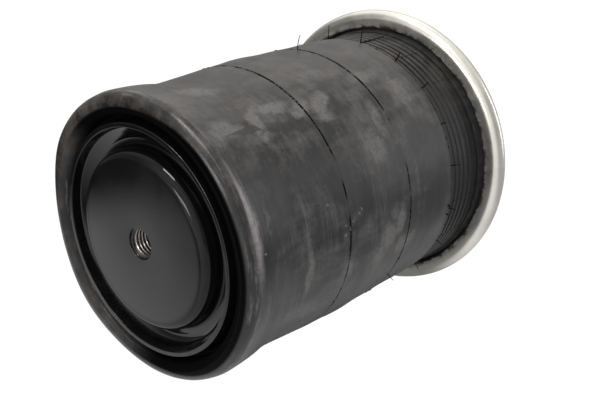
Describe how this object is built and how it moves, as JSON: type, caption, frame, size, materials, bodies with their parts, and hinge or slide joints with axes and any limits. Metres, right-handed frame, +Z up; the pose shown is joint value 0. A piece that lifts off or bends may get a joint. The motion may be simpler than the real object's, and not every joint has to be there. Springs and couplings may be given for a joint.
{
  "type": "air suspension spring",
  "caption": "Rolling-lobe air spring: rubber bellows between a crimped bead plate with studs and air port and a steel piston with a central thread.",
  "frame": {"origin": "mouth of the threaded hole in the piston's plateau, in the plane of the plateau's face, on the spring's axis", "axes": "+X along the spring's axis from the piston end to the bead plate, +Y along the line through the two plate studs, +Z up with the spring lying on its side and the air fitting on the lower side of the plate"},
  "size_m": [0.2928, 0.229, 0.229],
  "materials": {
    "zinc_plate": "satin zinc plating",
    "stud_steel": "zinc-plated steel",
    "bead_wire": "brass-coated steel wire",
    "cover_rubber": "matte, dusty moulded rubber",
    "cord_ply": "rubberised cord fabric",
    "liner_rubber": "smooth matte rubber",
    "gloss_black": "high-gloss black coating",
    "bare_steel": "bare machined steel",
    "closure_steel": "pressed zinc-plated steel",
    "bump_rubber": "matte rubber"
  },
  "bodies": {
    "bead_plate_body": {"bead_plate": "zinc_plate", "mounting_studs": "stud_steel", "air_fitting": "stud_steel", "upper_bead_wire": "bead_wire"},
    "bellows_body": {"upper_bead_rubber": "cover_rubber", "bellows_cover": "cover_rubber", "rolled_cover": "cover_rubber", "outer_cord_ply": "cord_ply", "inner_cord_ply": "cord_ply", "inner_liner": "liner_rubber"},
    "piston_body": {"piston_skirt": "gloss_black", "piston_base": "gloss_black", "piston_crown": "gloss_black", "threaded_bush": "bare_steel", "centre_tube": "bare_steel", "stiffening_ribs": "bare_steel", "clamp_nut": "bare_steel", "end_closure": "closure_steel", "lower_bead_wire": "bead_wire", "sealing_ring": "liner_rubber", "bump_stop_plate": "closure_steel", "bump_stop": "bump_rubber", "bolt_washer": "bare_steel", "clamp_bolt": "bare_steel"}
  },
  "joints": [
    {"name": "lobe_roll", "type": "slide", "parent": "bead_plate_body", "child": "bellows_body", "axis": [-1, 0, 0], "range_m": [-0.01, 0.08], "stiffness_N_per_m": 1500, "deforming": ["upper_bead_rubber", "bellows_cover", "rolled_cover", "outer_cord_ply", "inner_cord_ply", "inner_liner"]},
    {"name": "piston_stroke", "type": "slide", "parent": "bellows_body", "child": "piston_body", "axis": [-1, 0, 0], "range_m": [-0.01, 0.08], "stiffness_N_per_m": 1500}
  ],
  "couplings": [
    {"joint": "lobe_roll", "follows": "piston_stroke", "ratio": 1}
  ]
}
